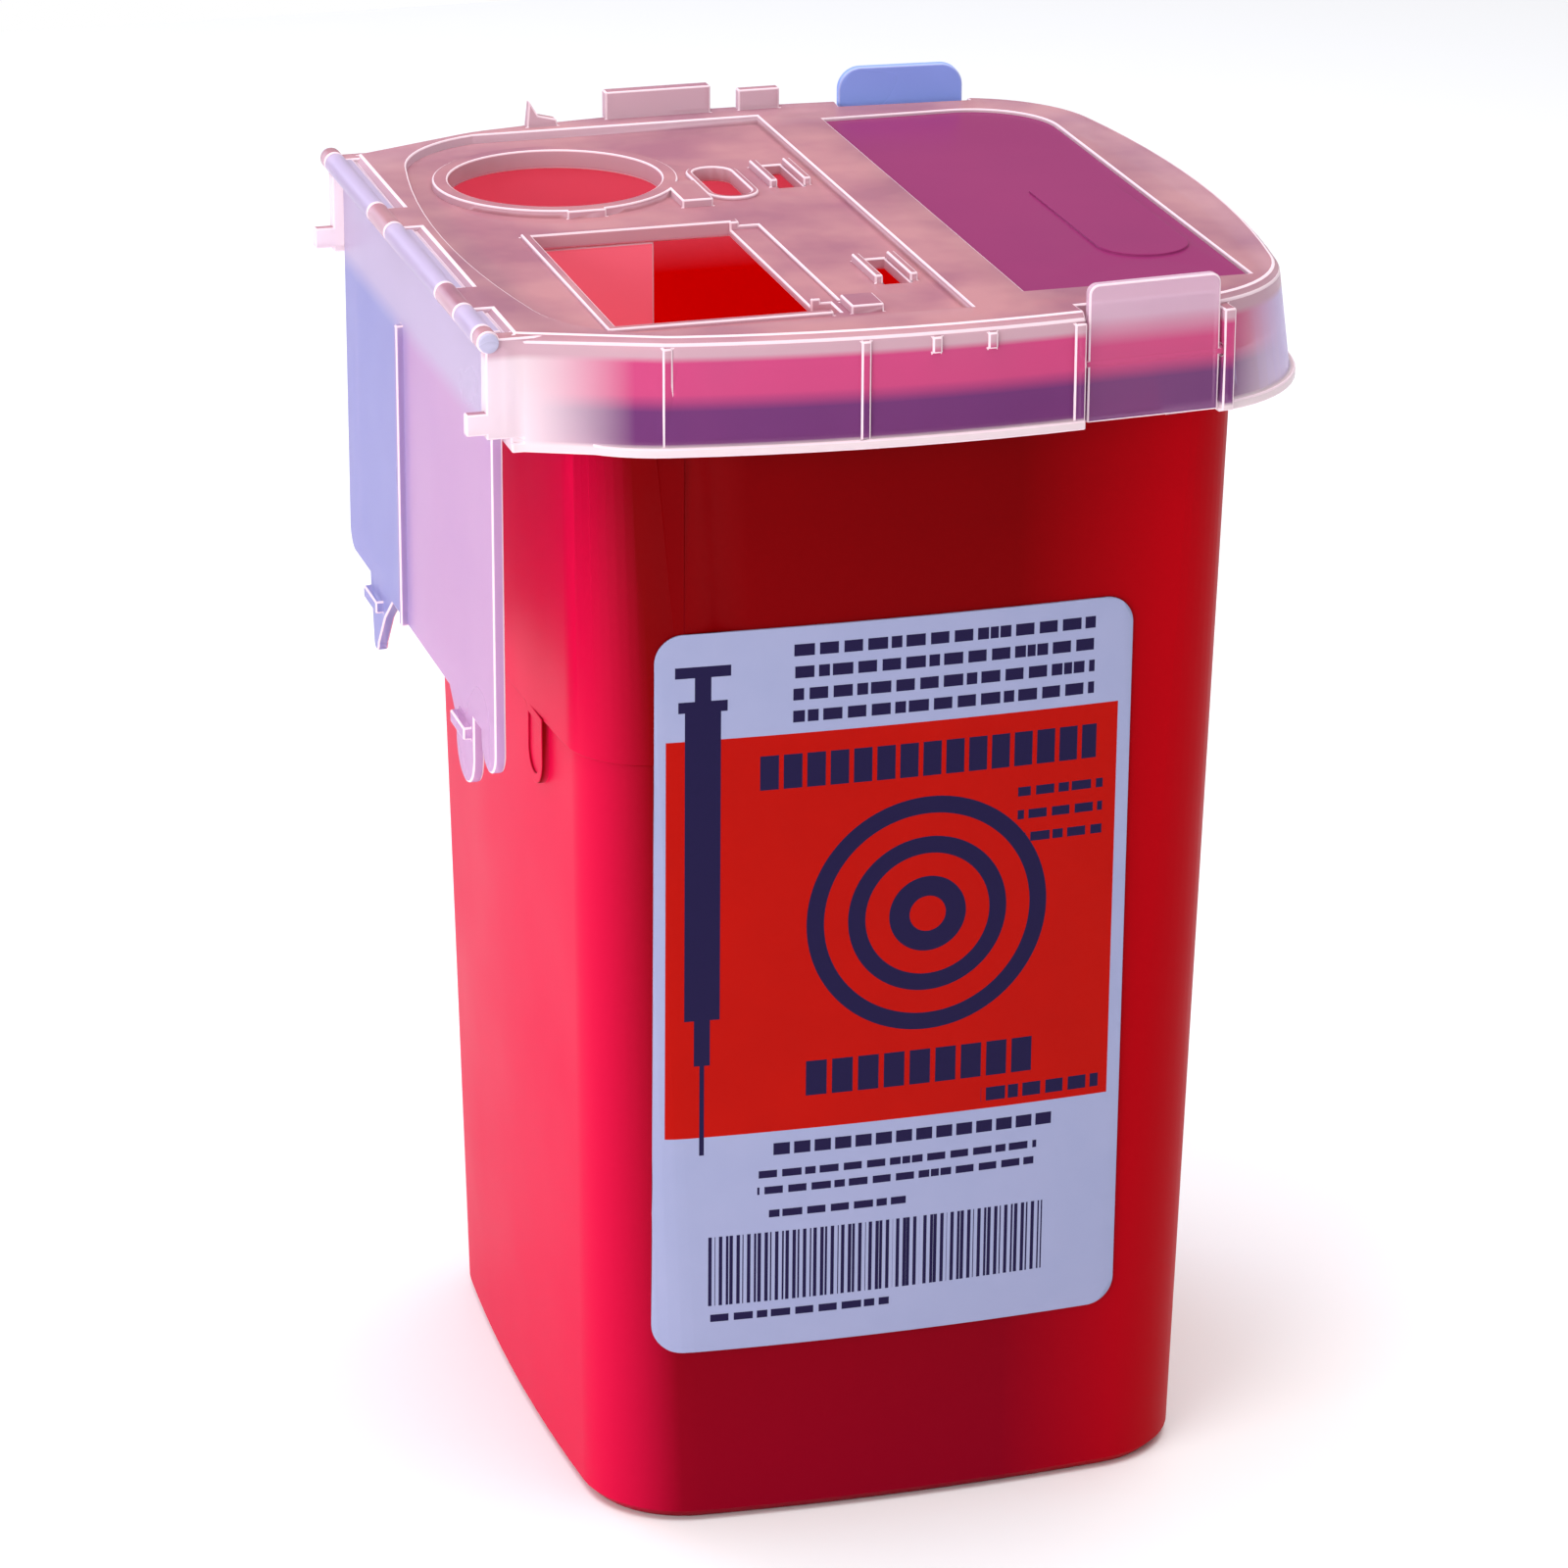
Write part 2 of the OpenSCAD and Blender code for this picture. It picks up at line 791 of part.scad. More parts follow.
module hinge_pin() {
    head = 0.6;
    reach = post_y + post_w;
    color("silver") {
        translate([axis_x, -reach, axis_z])
            rotate([-90, 0, 0])
                cylinder(d = pin_d, h = 2 * reach);
        for (y = [-reach - head, reach])
            translate([axis_x, y, axis_z])
                rotate([-90, 0, 0])
                    cylinder(d = knuckle_d - 0.4, h = head);
    }
}

// ---- lock tabs ----

// Outline of a tab that rises by rise above the lid, centred on X, with top corners of radius r
module tab_plan(rise, r) {
    top = top_z + rise;
    translate([-tab_w / 2, tab_low])
        square([tab_w, top - r - tab_low]);
    translate([-tab_w / 2 + r, tab_low])
        square([tab_w - 2 * r, top - tab_low]);
    for (x = [-tab_w / 2 + r, tab_w / 2 - r])
        translate([x, top - r])
            circle(r);
}

module lock_tab(rise, r) {
    translate([0, tab_face, 0])
        rotate([90, 0, 0])
            linear_extrude(tab_t)
                tab_plan(rise, r);
    translate([-axle_l / 2, tab_axle_y, tab_axis_z])
        rotate([0, 90, 0])
            cylinder(d = axle_d, h = axle_l);
}

module front_lock_tab() {
    color("plum", 0.7)
        at_tab(-1)
            lock_tab(front_tab_rise, 1.2);
}

module rear_lock_tab() {
    color("cornflowerblue", 0.7)
        at_tab(1)
            lock_tab(rear_tab_rise, 3);
}

tub();
front_label();
lid_shell();
window_panel();
drop_baffle();
closure_flap();
hinge_pin();
front_lock_tab();
rear_lock_tab();
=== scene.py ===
"""Sharps container: looks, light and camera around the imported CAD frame."""

import math

import bpy
import bmesh
from mathutils import Matrix, Vector


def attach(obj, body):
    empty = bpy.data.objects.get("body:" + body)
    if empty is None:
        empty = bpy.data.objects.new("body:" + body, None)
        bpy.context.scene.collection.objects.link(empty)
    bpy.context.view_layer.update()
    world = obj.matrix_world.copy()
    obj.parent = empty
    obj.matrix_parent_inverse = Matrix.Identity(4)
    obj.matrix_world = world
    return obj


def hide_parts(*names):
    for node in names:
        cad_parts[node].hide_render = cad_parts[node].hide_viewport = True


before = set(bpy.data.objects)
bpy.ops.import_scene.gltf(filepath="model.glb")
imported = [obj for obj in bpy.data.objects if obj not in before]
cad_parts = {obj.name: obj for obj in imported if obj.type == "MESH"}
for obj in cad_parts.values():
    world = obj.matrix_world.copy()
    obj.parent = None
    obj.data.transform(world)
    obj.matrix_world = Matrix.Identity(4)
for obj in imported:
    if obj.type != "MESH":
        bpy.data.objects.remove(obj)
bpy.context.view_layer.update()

MM = 0.001

# Camera: seen from the front left, slightly above, through a long lens
CAM_AZIMUTH = -16.39
CAM_ELEVATION = 20.88
CAM_ROLL = 0.29
CAM_DISTANCE = 773.5 * MM
CAM_TARGET = Vector((-3.9, 0.0, 80.85)) * MM
CAM_LENS = 138.8
SENSOR_WIDTH = 36.0

# Convex edges sharper than this are rounded: most pieces, the tub, and the panel and pin
EDGE_ANGLE = math.radians(28)
EDGE_ROUND = 0.22 * MM
TUB_ROUND = 0.15 * MM
FINE_ROUND = 0.1 * MM

# Faces that meet at less than this angle shade as one surface
SMOOTH_ANGLE = math.radians(35)

# Points closer together than this become one point
MERGE = 0.004 * MM

# Tub walls: half width and half depth at the foot, and what each gains by the rim
TUB_HALF = (40.0 * MM, 43.8 * MM)
TUB_LEAN = (2.6 * MM, 1.5 * MM)

# Tub walls: how far the sides bow, and the corner radius at the foot and at the rim
TUB_BOW = 1.1 * MM
TUB_CORNERS = (13.4 * MM, 8.8 * MM)
TUB_HEIGHT = 153.6 * MM
RIM_UNDERSIDE = 148.2 * MM

# A face whose direction matches the wall's this well, as a cosine, shades as the wall
WALL_MATCH = 0.97

# Heights in millimetres between which one colour turns into the next
FOOT_FADE = (0, 60)
INNER_FLOOR = (8, 9)
GLOW_FADE = (137, 143)
HINGE_FADE = (142, 145)
LIP_FADE = (143.2, 143.7)
RIM_FADE = (147.6, 149.6)
TAB_FADE = (152, 155.5)
DECK_FADE = (153.4, 154.2)

# Distances from the middle between which one colour turns into the next
FLAP_FADE = (2 * MM, 12 * MM)
FRONT_FADE = (12 * MM, 38 * MM)
SKIRT_FADE = (36 * MM, 48 * MM)

# The inner walls face the middle, by more than this
INWARD = -4 * MM

# Moulded surface: its grain and waviness, their share in the bump, and how far the gloss wanders
NOISE_DETAIL = 3.0
GRAIN_SCALE = 900.0
WAVE_SCALE = 45.0
WAVE_DETAIL = 2.0
GRAIN_SHARE = 0.25
BUMP_DEPTH = 0.25 * MM
GLOSS_SPREAD = 0.16

# Clear plastic bends light and shines less than solid plastic, so that it stays milky
CLEAR_IOR = 1.12
CLEAR_SPECULAR = 0.35
CLEAR_BUMP = 0.04

# Small print: its two wave trains, the level above which they print, and each row's shift
PRINT_WAVES = (2.3, 4.1)
PRINT_LEVEL = -0.9
ROW_SHIFT = 1.7

# Bar pattern: its two wave trains and their level; and how much of its pitch a heavy block fills
CODE_WAVES = (5.3, 8.9)
CODE_LEVEL = 0.0
BLOCK_SHARE = 0.8

# Studio: half the floor's width, its gap below the object, and the world's light on the object
FLOOR_REACH = 0.75
FLOOR_DROP = 0.05 * MM
FILL_LIGHT = 0.38


# ---- shader building blocks ----

def new_material(name):
    material = bpy.data.materials.new(name)
    material.use_nodes = True
    return material, material.node_tree, material.node_tree.nodes["Principled BSDF"]


def add(tree, kind, **values):
    node = tree.nodes.new(kind)
    for key, value in values.items():
        setattr(node, key, value)
    return node


def math_node(tree, operation, a, b=None, clamp=False):
    """One Math node; a and b are sockets or numbers."""
    node = add(tree, "ShaderNodeMath", operation=operation, use_clamp=clamp)
    for socket, value in zip(node.inputs, (a, b)):
        if value is None:
            continue
        if isinstance(value, (int, float)):
            socket.default_value = value
        else:
            tree.links.new(value, socket)
    return node.outputs[0]


def mix_color(tree, factor, a, b):
    """Colour a where factor is 0 and b where it is 1."""
    node = add(tree, "ShaderNodeMix", data_type="RGBA")
    for socket, value in ((node.inputs[0], factor), (node.inputs[6], a), (node.inputs[7], b)):
        if isinstance(value, (int, float)):
            socket.default_value = value
        elif isinstance(value, tuple):
            socket.default_value = (*value, 1)
        else:
            tree.links.new(value, socket)
    return node.outputs[2]


def object_coords(tree):
    return add(tree, "ShaderNodeTexCoord").outputs["Object"]


def part_of(tree, vector, axis):
    """One of a vector's three parts."""
    split = add(tree, "ShaderNodeSeparateXYZ")
    tree.links.new(vector, split.inputs[0])
    return split.outputs[axis]


def between(tree, value, low, high):
    """0 at or below low and 1 at or above high."""
    node = add(tree, "ShaderNodeMapRange")
    node.inputs["From Min"].default_value = low
    node.inputs["From Max"].default_value = high
    tree.links.new(value, node.inputs["Value"])
    return node.outputs[0]


def height_mask(tree, coords, heights):
    """0 below the first height and 1 above the second, in millimetres above the floor."""
    low, high = heights
    return between(tree, part_of(tree, coords, "Z"), low * MM, high * MM)


def facing(tree, axis):
    """How far the surface faces along an axis of the object, from -1 to 1."""
    geometry = add(tree, "ShaderNodeNewGeometry")
    turned = add(tree, "ShaderNodeVectorTransform", vector_type="NORMAL")
    turned.convert_from = "WORLD"
    turned.convert_to = "OBJECT"
    tree.links.new(geometry.outputs["Normal"], turned.inputs[0])
    return part_of(tree, turned.outputs[0], axis)


def noise(tree, coords, scale, detail=NOISE_DETAIL):
    node = add(tree, "ShaderNodeTexNoise")
    node.inputs["Scale"].default_value = scale
    node.inputs["Detail"].default_value = detail
    tree.links.new(coords, node.inputs["Vector"])
    return node.outputs["Fac"]


def mottled(tree, coords, scale, base, tint):
    """A colour that wanders between base and tint."""
    return mix_color(tree, noise(tree, coords, scale), base, tint)


def moulded_detail(tree, shader, coords, roughness, grain=GRAIN_SCALE, bump=0.06):
    """Fine moulded grain, slow waviness and uneven gloss."""
    fine = noise(tree, coords, grain)
    slow = noise(tree, coords, WAVE_SCALE, WAVE_DETAIL)
    spread = math_node(tree, "MULTIPLY", math_node(tree, "SUBTRACT", slow, 0.5), GLOSS_SPREAD)
    gloss = math_node(tree, "ADD", spread, roughness, clamp=True)
    tree.links.new(gloss, shader.inputs["Roughness"])
    height = math_node(tree, "ADD", math_node(tree, "MULTIPLY", fine, GRAIN_SHARE), slow)
    node = add(tree, "ShaderNodeBump")
    node.inputs["Strength"].default_value = bump
    node.inputs["Distance"].default_value = BUMP_DEPTH
    tree.links.new(height, node.inputs["Height"])
    tree.links.new(node.outputs["Normal"], shader.inputs["Normal"])


def finish_clear(tree, shader, coords, roughness, clear=0.10, see_through=0.0):
    """Milky plastic: part of it lets light through, part of it is simply thin."""
    shader.inputs["Transmission Weight"].default_value = clear
    shader.inputs["IOR"].default_value = CLEAR_IOR
    shader.inputs["Specular IOR Level"].default_value = CLEAR_SPECULAR
    shader.inputs["Alpha"].default_value = 1.0 - see_through
    moulded_detail(tree, shader, coords, roughness, bump=CLEAR_BUMP)


# ---- materials ----

def plastic(name, base, tint, roughness, painted_glow=0.0):
    """Moulded plastic whose colour varies between base and tint; glow stands for light through it."""
    material, tree, shader = new_material(name)
    coords = object_coords(tree)
    surface = mottled(tree, coords, 60.0, base, tint)
    tree.links.new(surface, shader.inputs["Base Color"])
    if painted_glow:
        tree.links.new(surface, shader.inputs["Emission Color"])
        shader.inputs["Emission Strength"].default_value = painted_glow
    finish_clear(tree, shader, coords, roughness)
    return material


def skirt_color(tree, coords):
    """Pink where the tub's rim lies behind the skirt, purplish painted shade in the gap below the
    rim, near white at its ends, and a painted bluish reflection on faces turned to the right.
    """
    # Painted shade: the dark gap under the tub's rim, seen through the skirt
    shade_purple = mottled(tree, coords, 50.0, (0.22, 0.061, 0.22), (0.18, 0.048, 0.20))
    pink = (0.70, 0.093, 0.265)
    rosy_white = (0.95, 0.80, 0.87)
    reflected_lavender = (0.62, 0.55, 0.95)
    banded = mix_color(tree, height_mask(tree, coords, RIM_FADE), shade_purple, pink)
    along = math_node(tree, "ABSOLUTE", part_of(tree, coords, "X"))
    pale_ends = mix_color(tree, between(tree, along, *SKIRT_FADE), banded, rosy_white)
    # Painted reflection: faces turned to the right take a bluish sheen
    rightward = between(tree, facing(tree, "X"), 0.5, 0.95)
    return mix_color(tree, rightward, pale_ends, reflected_lavender)


def lid_material():
    """Milky deck over a tinted skirt, with a painted highlight along the skirt's lower lip."""
    material, tree, shader = new_material("lid_milky")
    coords = object_coords(tree)
    deck_edge = (0.72, 0.48, 0.56)
    lip_highlight = (0.98, 0.84, 0.88)
    cloud = between(tree, noise(tree, coords, 70.0), 0.35, 0.65)
    deck = mix_color(tree, cloud, (0.60, 0.30, 0.33), (0.43, 0.19, 0.26))
    side = mix_color(tree, height_mask(tree, coords, DECK_FADE), skirt_color(tree, coords), deck_edge)
    upward = between(tree, facing(tree, "Z"), 0.5, 0.9)
    body = mix_color(tree, upward, side, deck)
    # Painted highlight along the skirt's lower edge
    whole = mix_color(tree, height_mask(tree, coords, LIP_FADE), lip_highlight, body)
    tree.links.new(whole, shader.inputs["Base Color"])
    finish_clear(tree, shader, coords, 0.22, clear=0.25, see_through=0.14)
    return material


def front_tab_material():
    """The front lock tab: milky above the deck, skirt colours below it."""
    material, tree, shader = new_material("front_tab_clear")
    coords = object_coords(tree)
    milk_share = 0.06
    milky = mottled(tree, coords, 60.0, (0.78, 0.55, 0.67), (0.70, 0.48, 0.62))
    lower = mix_color(tree, milk_share, skirt_color(tree, coords), milky)
    whole = mix_color(tree, height_mask(tree, coords, TAB_FADE), lower, milky)
    tree.links.new(whole, shader.inputs["Base Color"])
    finish_clear(tree, shader, coords, 0.24, clear=0.25, see_through=0.20)
    return material


def flap_material():
    """Pink in front of the rib, painted blue light towards the back, and paler near the hinge."""
    material, tree, shader = new_material("flap_lavender")
    coords = object_coords(tree)
    near_hinge = (0.50, 0.42, 0.58)
    front = mottled(tree, coords, 50.0, (0.54, 0.33, 0.53), (0.47, 0.28, 0.51))
    # Painted light: the blue lamp behind tints the back of the flap
    rear_blue_light = mottled(tree, coords, 50.0, (0.25, 0.25, 0.53), (0.31, 0.30, 0.55))
    backward = between(tree, part_of(tree, coords, "Y"), *FLAP_FADE)
    sheet = mix_color(tree, backward, front, rear_blue_light)
    whole = mix_color(tree, height_mask(tree, coords, HINGE_FADE), sheet, near_hinge)
    tree.links.new(whole, shader.inputs["Base Color"])
    finish_clear(tree, shader, coords, 0.30, clear=0.25, see_through=0.08)
    return material


def inside_tub(tree, coords):
    """1 on the tub's inner walls, which face its middle, and on its inner floor."""
    geometry = add(tree, "ShaderNodeNewGeometry")
    flat = add(tree, "ShaderNodeVectorMath", operation="MULTIPLY")
    flat.inputs[1].default_value = (1, 1, 0)
    dot = add(tree, "ShaderNodeVectorMath", operation="DOT_PRODUCT")
    tree.links.new(coords, flat.inputs[0])
    tree.links.new(geometry.outputs["Normal"], dot.inputs[0])
    tree.links.new(flat.outputs[0], dot.inputs[1])
    wall = math_node(tree, "LESS_THAN", dot.outputs["Value"], INWARD)
    low = math_node(tree, "SUBTRACT", 1.0, height_mask(tree, coords, INNER_FLOOR))
    floor = math_node(tree, "MULTIPLY", low, between(tree, facing(tree, "Z"), 0.8, 0.9))
    return math_node(tree, "MAXIMUM", wall, floor)


def tub_material():
    """Deep red plastic with painted light: pinker where it faces the key lamp, brighter towards its
    right side, and lit and emitting on its inner walls.
    """
    material, tree, shader = new_material("tub_red")
    coords = object_coords(tree)
    foot_red = (0.22, 0.0, 0.010)
    painted_light_red = (0.46, 0.0, 0.005)
    key_lit_pink = (0.62, 0.003, 0.048)
    deep_red = mottled(tree, coords, 40.0, (0.185, 0.0, 0.001), (0.160, 0.0, 0.001))
    upright = mix_color(tree, height_mask(tree, coords, FOOT_FADE), foot_red, deep_red)
    # Painted light: the tub turns brighter red towards its right side
    right = between(tree, part_of(tree, coords, "X"), *FRONT_FADE)
    front = mix_color(tree, right, upright, painted_light_red)
    # Painted light: faces turned to the left, towards the key lamp, are pinker
    leftward = math_node(tree, "MULTIPLY", facing(tree, "X"), -1.0)
    outside = mix_color(tree, between(tree, leftward, 0.25, 0.95), front, key_lit_pink)
    # Painted light: the inner walls are bright and emit red, pinker towards the rim, standing in for
    # light through the plastic
    painted_glow = mix_color(tree, height_mask(tree, coords, GLOW_FADE), (0.82, 0.0, 0.0), (0.98, 0.17, 0.28))
    within = inside_tub(tree, coords)
    tree.links.new(mix_color(tree, within, outside, painted_glow), shader.inputs["Base Color"])
    tree.links.new(mix_color(tree, within, (0, 0, 0), painted_glow), shader.inputs["Emission Color"])
    shader.inputs["Emission Strength"].default_value = 0.17
    shader.inputs["IOR"].default_value = 1.48
    shader.inputs["Specular IOR Level"].default_value = 0.03
    moulded_detail(tree, shader, coords, 0.40, grain=700.0)
    return material


# ---- label print: plain shapes in the label's own plane, u along X and v up, in millimetres ----

def plane_coords(tree):
    coords = object_coords(tree)
    u = math_node(tree, "DIVIDE", part_of(tree, coords, "X"), MM)
    v = math_node(tree, "DIVIDE", part_of(tree, coords, "Z"), MM)
    return coords, u, v


def inside(tree, value, low, high):
    above = math_node(tree, "GREATER_THAN", value, low)
    below = math_node(tree, "LESS_THAN", value, high)
    return math_node(tree, "MULTIPLY", above, below)


def bar(tree, u, v, u0, u1, v0, v1):
    return math_node(tree, "MULTIPLY", inside(tree, u, u0, u1), inside(tree, v, v0, v1))


def union(tree, masks):
    total = masks[0]
    for mask in masks[1:]:
        total = math_node(tree, "MAXIMUM", total, mask)
    return total


def block_row(tree, u, v, across, height, pitch):
    """Evenly spaced blocks that stand in for a line of heavy print."""
    from_start = math_node(tree, "DIVIDE", math_node(tree, "SUBTRACT", u, across[0]), pitch)
    block = math_node(tree, "LESS_THAN", math_node(tree, "FRACT", from_start), BLOCK_SHARE)
    return math_node(tree, "MULTIPLY", bar(tree, u, v, *across, *height), block)


def uneven_bars(tree, u, waves, level, phase=0.0):
    """Upright bars of uneven width along u, made from two beating wave trains."""
    moved = math_node(tree, "ADD", u, phase)
    trains = [math_node(tree, "SINE", math_node(tree, "MULTIPLY", moved, wave)) for wave in waves]
    return math_node(tree, "GREATER_THAN", math_node(tree, "ADD", *trains), level)


def small_print(tree, u, v, u0, u1, rows, height):
    """Rows of uneven strokes, each row out of step with the last."""
    lines = []
    for v0 in rows:
        row = bar(tree, u, v, u0, u1, v0, v0 + height)
        strokes = uneven_bars(tree, u, PRINT_WAVES, PRINT_LEVEL, v0 * ROW_SHIFT)
        lines.append(math_node(tree, "MULTIPLY", row, strokes))
    return lines


def ring(tree, u, v, centre, radius, width):
    du = math_node(tree, "SUBTRACT", u, centre[0])
    dv = math_node(tree, "SUBTRACT", v, centre[1])
    du_square = math_node(tree, "MULTIPLY", du, du)
    dv_square = math_node(tree, "MULTIPLY", dv, dv)
    distance = math_node(tree, "SQRT", math_node(tree, "ADD", du_square, dv_square))
    return inside(tree, distance, radius - width / 2, radius + width / 2)


def label_ink(tree, u, v):
    """Where the label is printed dark: strokes, blocks, a bar pattern, rings and a syringe."""
    lines = small_print(tree, u, v, -16.0, 22.0, (106.4, 109.2, 112.0, 114.8), 1.5)
    lines += small_print(tree, u, v, 12.5, 23.5, (88.0, 91.0, 94.0), 1.2)
    lines += small_print(tree, u, v, 8.5, 24.0, (54.0,), 1.8)
    lines += small_print(tree, u, v, -20.0, 16.0, (44.6, 46.8), 1.0)
    lines += small_print(tree, u, v, -26.0, -3.0, (27.8,), 1.0)
    lines += small_print(tree, u, v, -19.0, -1.0, (41.4,), 1.0)
    heavy = [
        block_row(tree, u, v, (-20.0, 22.5), (98.0, 102.4), 2.9),
        block_row(tree, u, v, (-14.0, 15.6), (57.4, 62.0), 3.3),
        block_row(tree, u, v, (-18.0, 18.0), (49.8, 51.4), 2.6),
    ]
    code_area = bar(tree, u, v, -26.5, 17.0, 30.0, 39.4)
    code = math_node(tree, "MULTIPLY", code_area, uneven_bars(tree, u, CODE_WAVES, CODE_LEVEL))
    emblem_at = (1.2, 80.0)
    rings = ((14.2, 2.2), (9.0, 2.2), (3.6, 2.6))
    emblem = [ring(tree, u, v, emblem_at, radius, width) for radius, width in rings]
    syringe = [
        bar(tree, u, v, -30.4, -23.6, 113.0, 114.4),
        bar(tree, u, v, -28.0, -26.0, 109.6, 113.4),
        bar(tree, u, v, -30.0, -24.0, 108.6, 110.0),
        bar(tree, u, v, -29.2, -24.8, 68.6, 109.0),
        bar(tree, u, v, -28.0, -26.0, 62.6, 69.0),
        bar(tree, u, v, -27.3, -26.7, 50.6, 63.0),
    ]
    return union(tree, lines + heavy + [code] + emblem + syringe)


def label_material():
    """Pale film with a red panel and navy print."""
    material, tree, shader = new_material("label_film")
    coords, u, v = plane_coords(tree)
    navy = (0.012, 0.008, 0.045)
    card = mottled(tree, coords, 150.0, (0.28, 0.31, 0.49), (0.32, 0.34, 0.52))
    red = mottled(tree, coords, 120.0, (0.42, 0.003, 0.0), (0.37, 0.002, 0.0))
    panel = bar(tree, u, v, -31.5, 25.2, 53.0, 105.0)
    surface = mix_color(tree, panel, card, red)
    printed = mix_color(tree, label_ink(tree, u, v), surface, navy)
    tree.links.new(printed, shader.inputs["Base Color"])
    shader.inputs["IOR"].default_value = 1.45
    shader.inputs["Specular IOR Level"].default_value = 0.08
    moulded_detail(tree, shader, coords, 0.34, grain=1400.0, bump=0.03)
    return material


# ---- pieces: each copies its CAD node's shape, with cleaned faces and rounded edges ----

def clean_shape(source, rounding, edge_slot):
    """The CAD shape with its convex edges rounded, and those in the given material slot."""
    shape = bmesh.new()
    shape.from_mesh(source.data)
    bmesh.ops.remove_doubles(shape, verts=shape.verts, dist=MERGE)
    bmesh.ops.recalc_face_normals(shape, faces=shape.faces)
    for face in shape.faces:
        face.material_index = 0
    if rounding:
        whole = [edge for edge in shape.edges if edge.is_manifold]
        corners = [edge for edge in whole if edge.calc_face_angle_signed() > EDGE_ANGLE]
        bmesh.ops.bevel(
            shape,
            geom=corners,
            offset=rounding,
            offset_type="OFFSET",
            segments=2,
            profile=0.5,
            affect="EDGES",
            clamp_overlap=False,
            material=edge_slot,
        )
    for face in shape.faces:
        face.smooth = True
    return shape


def side_normal(other, corner, offset):
    """Slope of a bowed side at a distance along it, and the angle at which its corner arc starts."""
    reach = other - corner - TUB_BOW
    radius = corner + (reach * reach + TUB_BOW * TUB_BOW) / (2 * TUB_BOW)
    start = math.atan2(reach, radius - corner - TUB_BOW)
    return math.asin(max(-1.0, min(1.0, offset / radius))), start


def tub_wall_normal(place):
    """Outward direction of the smooth tub wall nearest a point."""
    rise = place.z / TUB_HEIGHT
    half_x = TUB_HALF[0] + TUB_LEAN[0] * rise
    half_y = TUB_HALF[1] + TUB_LEAN[1] * rise
    corner = TUB_CORNERS[0] + (TUB_CORNERS[1] - TUB_CORNERS[0]) * rise
    x, y = abs(place.x), abs(place.y)
    turn_x, start_x = side_normal(half_y, corner, y)
    turn_y, start_y = side_normal(half_x, corner, x)
    angle = math.atan2(y - half_y + corner + TUB_BOW, x - half_x + corner + TUB_BOW)
    if angle < start_x or angle > math.pi / 2 - start_y:
        on_x_side = half_x - x < half_y - y
        angle = min(turn_x, start_x) if on_x_side else math.pi / 2 - min(turn_y, start_y)
    lean = (TUB_LEAN[0] * math.cos(angle) + TUB_LEAN[1] * math.sin(angle)) / TUB_HEIGHT
    return Vector((
        math.copysign(math.cos(angle), place.x),
        math.copysign(math.sin(angle), place.y),
        -lean,
    )).normalized()


def smooth_walls(mesh):
    """Shades the tub's walls as the smooth curves that they follow."""
    normals = [Vector(corner.vector) for corner in mesh.corner_normals]
    for face in mesh.polygons:
        for loop in face.loop_indices:
            place = mesh.vertices[mesh.loops[loop].vertex_index].co
            wall = tub_wall_normal(place)
            match = wall.dot(face.normal)
            if match > WALL_MATCH and place.z < RIM_UNDERSIDE:
                normals[loop] = wall
            elif match < -WALL_MATCH:
                normals[loop] = -wall
    mesh.normals_split_custom_set(normals)


def detailed(node, body, materials, rounding=EDGE_ROUND):
    """A finished piece in place of a CAD node; a second material, a painted edge highlight, goes on
    its rounded edges.
    """
    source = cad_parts[node]
    mesh = bpy.data.meshes.new(node + "_finished")
    piece = bpy.data.objects.new(node + "_finished", mesh)
    bpy.context.scene.collection.objects.link(piece)
    piece.matrix_world = source.matrix_world.copy()
    shape = clean_shape(source, rounding, len(materials) - 1)
    shape.to_mesh(mesh)
    shape.free()
    for material in materials:
        mesh.materials.append(material)
    mesh.set_sharp_from_angle(angle=SMOOTH_ANGLE)
    if node == "tub":
        smooth_walls(mesh)
    else:
        weighted = piece.modifiers.new("even shading", "WEIGHTED_NORMAL")
        weighted.keep_sharp = True
    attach(piece, body)
    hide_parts(node)
    return piece


def make_pieces():
    detailed("tub", "tub_body", [tub_material()], TUB_ROUND)
    detailed("front_label", "tub_body", [label_material()], 0)
    # Painted highlight on the rounded edges of the milky pieces
    edge_highlight = plastic("painted_edge_highlight", (0.92, 0.74, 0.80), (0.84, 0.66, 0.74), 0.20)
    detailed("lid_shell", "lid_body", [lid_material(), edge_highlight])
    # Painted shade: the unlit tub seen through the panel, with a painted bluish reflection
    shade_purple = plastic("panel_shade_purple", (0.29, 0.029, 0.135), (0.25, 0.025, 0.125), 0.20)
    detailed("window_panel", "lid_body", [shade_purple], FINE_ROUND)
    # Painted light: the baffle emits a little light, standing in for light through it
    pink = plastic("baffle_pink", (0.92, 0.19, 0.27), (0.85, 0.16, 0.24), 0.25, painted_glow=0.22)
    detailed("drop_baffle", "lid_body", [pink, edge_highlight])
    rod = plastic("pin_plastic", (0.55, 0.52, 0.70), (0.48, 0.46, 0.64), 0.28)
    detailed("hinge_pin", "lid_body", [rod], FINE_ROUND)
    flap = detailed("closure_flap", "flap_body", [flap_material(), edge_highlight])
    # Light passes through the thin clear flap to the tub behind it
    flap.visible_shadow = False
    detailed("front_lock_tab", "front_tab_body", [front_tab_material(), edge_highlight])
    blue = plastic("rear_tab_blue", (0.33, 0.46, 0.98), (0.27, 0.38, 0.90), 0.28)
    # Painted highlight on the blue tab's rounded edges
    blue_edge_highlight = plastic("rear_tab_edge_highlight", (0.48, 0.58, 1.0), (0.42, 0.50, 0.92), 0.28)
    detailed("rear_lock_tab", "rear_tab_body", [blue, blue_edge_highlight])


# ---- studio ----

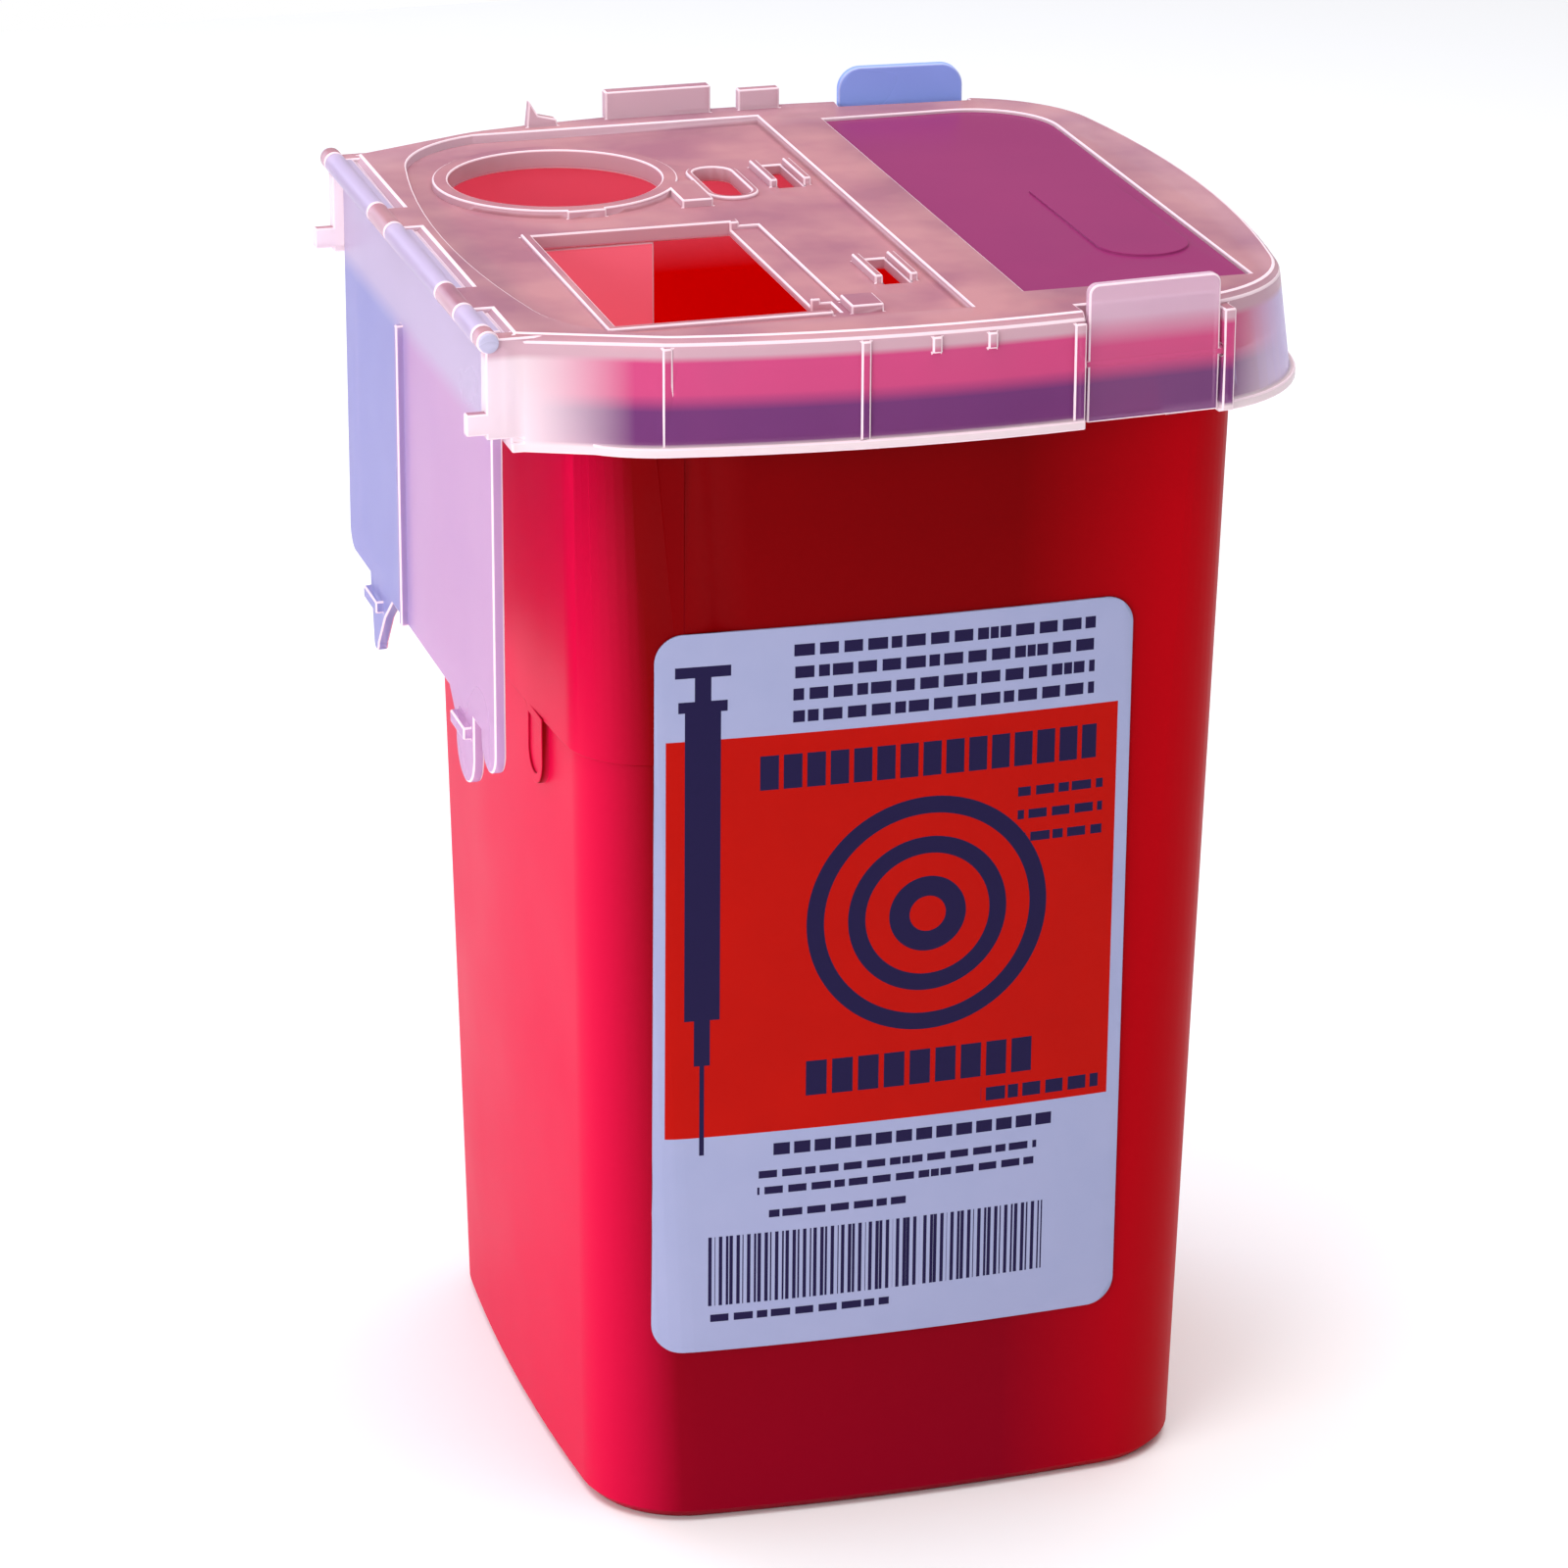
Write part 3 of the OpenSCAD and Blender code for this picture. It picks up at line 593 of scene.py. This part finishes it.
def make_floor():
    mesh = bpy.data.meshes.new("floor")
    shape = bmesh.new()
    bmesh.ops.create_grid(shape, x_segments=2, y_segments=2, size=FLOOR_REACH)
    shape.to_mesh(mesh)
    shape.free()
    floor = bpy.data.objects.new("floor", mesh)
    bpy.context.scene.collection.objects.link(floor)
    floor.location.z = -FLOOR_DROP
    material, tree, shader = new_material("pale_floor")
    tone = mottled(tree, object_coords(tree), 6.0, (0.93, 0.93, 0.94), (0.95, 0.95, 0.96))
    tree.links.new(tone, shader.inputs["Base Color"])
    shader.inputs["Roughness"].default_value = 0.7
    mesh.materials.append(material)


def soft_light(name, place, aim, size, power, color):
    """A square area light, size metres wide, turned towards aim."""
    data = bpy.data.lights.new(name, "AREA")
    data.shape = "RECTANGLE"
    data.size = size
    data.size_y = size
    data.energy = power
    data.color = color
    light = bpy.data.objects.new(name, data)
    bpy.context.scene.collection.objects.link(light)
    toward = (Vector(aim) - Vector(place)).normalized()
    turn = toward.to_track_quat("-Z", "Y").to_matrix().to_4x4()
    light.matrix_world = Matrix.Translation(Vector(place)) @ turn


def make_world():
    """White backdrop to look at, dimmer light from all round."""
    world = bpy.data.worlds.new("studio")
    world.use_nodes = True
    tree = world.node_tree
    background = tree.nodes["Background"]
    background.inputs["Color"].default_value = (1, 1, 1, 1)
    seen = add(tree, "ShaderNodeLightPath").outputs["Is Camera Ray"]
    extra = math_node(tree, "MULTIPLY", seen, 1.0 - FILL_LIGHT)
    strength = math_node(tree, "ADD", extra, FILL_LIGHT)
    tree.links.new(strength, background.inputs["Strength"])
    bpy.context.scene.world = world
    bpy.context.scene.view_settings.view_transform = "Standard"


def make_lights():
    aim = (0.0, 0.0, 0.09)
    soft_light("key", (-0.58, -0.42, 0.20), aim, 0.5, 3.9, (1.0, 0.94, 0.96))
    soft_light("rim", (-0.34, 0.62, 0.42), aim, 0.4, 1.6, (0.62, 0.70, 1.0))
    soft_light("top", (0.0, 0.0, 1.2), aim, 1.4, 18.0, (1.0, 1.0, 1.0))


def make_camera():
    azimuth = math.radians(CAM_AZIMUTH)
    elevation = math.radians(CAM_ELEVATION)
    roll = math.radians(CAM_ROLL)
    back = Vector((
        math.sin(azimuth) * math.cos(elevation),
        -math.cos(azimuth) * math.cos(elevation),
        math.sin(elevation),
    ))
    right = (-back).cross(Vector((0, 0, 1))).normalized()
    up = right.cross(-back)
    rolled_right = right * math.cos(roll) + up * math.sin(roll)
    rolled_up = up * math.cos(roll) - right * math.sin(roll)
    data = bpy.data.cameras.new("camera")
    data.lens = CAM_LENS
    data.sensor_width = SENSOR_WIDTH
    camera = bpy.data.objects.new("camera", data)
    bpy.context.scene.collection.objects.link(camera)
    rotation = Matrix((rolled_right, rolled_up, back)).transposed().to_4x4()
    camera.matrix_world = Matrix.Translation(CAM_TARGET + back * CAM_DISTANCE) @ rotation
    bpy.context.scene.camera = camera


make_camera()
make_pieces()
make_floor()
make_world()
make_lights()

bpy.context.view_layer.update()
